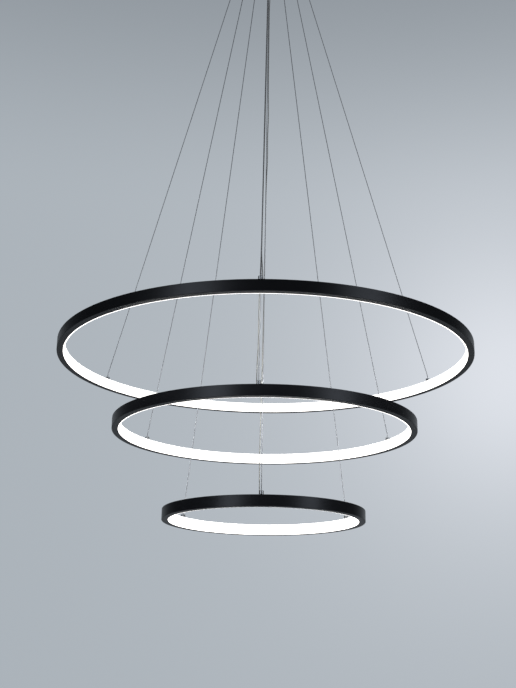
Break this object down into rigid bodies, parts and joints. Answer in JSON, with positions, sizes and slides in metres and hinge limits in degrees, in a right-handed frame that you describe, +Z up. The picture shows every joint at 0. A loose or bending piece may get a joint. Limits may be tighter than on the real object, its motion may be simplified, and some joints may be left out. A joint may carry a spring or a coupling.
{
  "type": "led ring chandelier",
  "caption": "Pendant light of level LED rings in black channel, hung in tiers on thin steel wires from a round canopy.",
  "frame": {"origin": "centre of the ceiling face, midway between the bracket's two slots", "axes": "+Z up to the ceiling, -Y to the front, where the power cables come down, +X to the right seen from the front"},
  "size_m": [0.7999, 0.8, 1.29],
  "materials": {
    "black_aluminium": "satin black powder coat",
    "black_steel": "satin black powder coat",
    "opal": "opal, lit from behind",
    "plated_steel": "bright nickel plate",
    "wire_steel": "fine stranded steel rope",
    "zinc_steel": "zinc plate",
    "cable_jacket": "smoky clear jacket over two cores",
    "driver_case": "fine moulded texture",
    "terminal_plastic": "natural nylon",
    "circuit_film": "white solder mask",
    "led_package": "yellow phosphor",
    "foam": "closed-cell foam tape"
  },
  "bodies": {
    "canopy": {"ceiling_bracket": "zinc_steel", "canopy_pan": "black_steel", "canopy_side_screws": "plated_steel", "terminal_block": "terminal_plastic", "earth_screw": "zinc_steel", "driver_pads": "foam", "wire_grip_bodies": "plated_steel", "wire_grip_nuts": "zinc_steel", "cable_glands": "plated_steel", "cable_gland_nuts": "zinc_steel", "large_ring_driver": "driver_case", "large_ring_wires": "wire_steel", "large_ring_power_cable": "cable_jacket", "large_ring_front_spring": "zinc_steel", "large_ring_right_spring": "zinc_steel", "large_ring_left_spring": "zinc_steel", "middle_ring_driver": "driver_case", "middle_ring_wires": "wire_steel", "middle_ring_power_cable": "cable_jacket", "middle_ring_front_spring": "zinc_steel", "middle_ring_right_spring": "zinc_steel", "middle_ring_left_spring": "zinc_steel", "small_ring_driver": "driver_case", "small_ring_wires": "wire_steel", "small_ring_power_cable": "cable_jacket", "small_ring_front_spring": "zinc_steel", "small_ring_right_spring": "zinc_steel", "small_ring_left_spring": "zinc_steel"},
    "large_ring": {"large_ring_housing": "black_aluminium", "large_ring_diffuser": "opal", "large_ring_led_strip": "circuit_film", "large_ring_leds": "led_package", "large_ring_wire_studs": "plated_steel", "large_ring_stud_nuts": "zinc_steel"},
    "large_ring_front_tip": {"large_ring_front_release": "plated_steel"},
    "large_ring_right_tip": {"large_ring_right_release": "plated_steel"},
    "large_ring_left_tip": {"large_ring_left_release": "plated_steel"},
    "middle_ring": {"middle_ring_housing": "black_aluminium", "middle_ring_diffuser": "opal", "middle_ring_led_strip": "circuit_film", "middle_ring_leds": "led_package", "middle_ring_wire_studs": "plated_steel", "middle_ring_stud_nuts": "zinc_steel"},
    "middle_ring_front_tip": {"middle_ring_front_release": "plated_steel"},
    "middle_ring_right_tip": {"middle_ring_right_release": "plated_steel"},
    "middle_ring_left_tip": {"middle_ring_left_release": "plated_steel"},
    "small_ring": {"small_ring_housing": "black_aluminium", "small_ring_diffuser": "opal", "small_ring_led_strip": "circuit_film", "small_ring_leds": "led_package", "small_ring_wire_studs": "plated_steel", "small_ring_stud_nuts": "zinc_steel"},
    "small_ring_front_tip": {"small_ring_front_release": "plated_steel"},
    "small_ring_right_tip": {"small_ring_right_release": "plated_steel"},
    "small_ring_left_tip": {"small_ring_left_release": "plated_steel"}
  },
  "joints": [
    {"name": "large_ring_height", "type": "slide", "parent": "canopy", "child": "large_ring", "axis": [0, 0, 1], "range_m": [0, 0.3], "deforming": ["large_ring_wires", "large_ring_power_cable"]},
    {"name": "large_ring_front_press", "type": "slide", "parent": "canopy", "child": "large_ring_front_tip", "axis": [0, 0, 1], "range_m": [0, 0.0015], "stiffness_N_per_m": 1000, "springref_m": -0.003, "deforming": ["large_ring_front_spring"]},
    {"name": "large_ring_right_press", "type": "slide", "parent": "canopy", "child": "large_ring_right_tip", "axis": [0, 0, 1], "range_m": [0, 0.0015], "stiffness_N_per_m": 1000, "springref_m": -0.003, "deforming": ["large_ring_right_spring"]},
    {"name": "large_ring_left_press", "type": "slide", "parent": "canopy", "child": "large_ring_left_tip", "axis": [0, 0, 1], "range_m": [0, 0.0015], "stiffness_N_per_m": 1000, "springref_m": -0.003, "deforming": ["large_ring_left_spring"]},
    {"name": "middle_ring_height", "type": "slide", "parent": "canopy", "child": "middle_ring", "axis": [0, 0, 1], "range_m": [0, 0.3], "deforming": ["middle_ring_wires", "middle_ring_power_cable"]},
    {"name": "middle_ring_front_press", "type": "slide", "parent": "canopy", "child": "middle_ring_front_tip", "axis": [0, 0, 1], "range_m": [0, 0.0015], "stiffness_N_per_m": 1000, "springref_m": -0.003, "deforming": ["middle_ring_front_spring"]},
    {"name": "middle_ring_right_press", "type": "slide", "parent": "canopy", "child": "middle_ring_right_tip", "axis": [0, 0, 1], "range_m": [0, 0.0015], "stiffness_N_per_m": 1000, "springref_m": -0.003, "deforming": ["middle_ring_right_spring"]},
    {"name": "middle_ring_left_press", "type": "slide", "parent": "canopy", "child": "middle_ring_left_tip", "axis": [0, 0, 1], "range_m": [0, 0.0015], "stiffness_N_per_m": 1000, "springref_m": -0.003, "deforming": ["middle_ring_left_spring"]},
    {"name": "small_ring_height", "type": "slide", "parent": "canopy", "child": "small_ring", "axis": [0, 0, 1], "range_m": [0, 0.3], "deforming": ["small_ring_wires", "small_ring_power_cable"]},
    {"name": "small_ring_front_press", "type": "slide", "parent": "canopy", "child": "small_ring_front_tip", "axis": [0, 0, 1], "range_m": [0, 0.0015], "stiffness_N_per_m": 1000, "springref_m": -0.003, "deforming": ["small_ring_front_spring"]},
    {"name": "small_ring_right_press", "type": "slide", "parent": "canopy", "child": "small_ring_right_tip", "axis": [0, 0, 1], "range_m": [0, 0.0015], "stiffness_N_per_m": 1000, "springref_m": -0.003, "deforming": ["small_ring_right_spring"]},
    {"name": "small_ring_left_press", "type": "slide", "parent": "canopy", "child": "small_ring_left_tip", "axis": [0, 0, 1], "range_m": [0, 0.0015], "stiffness_N_per_m": 1000, "springref_m": -0.003, "deforming": ["small_ring_left_spring"]}
  ]
}
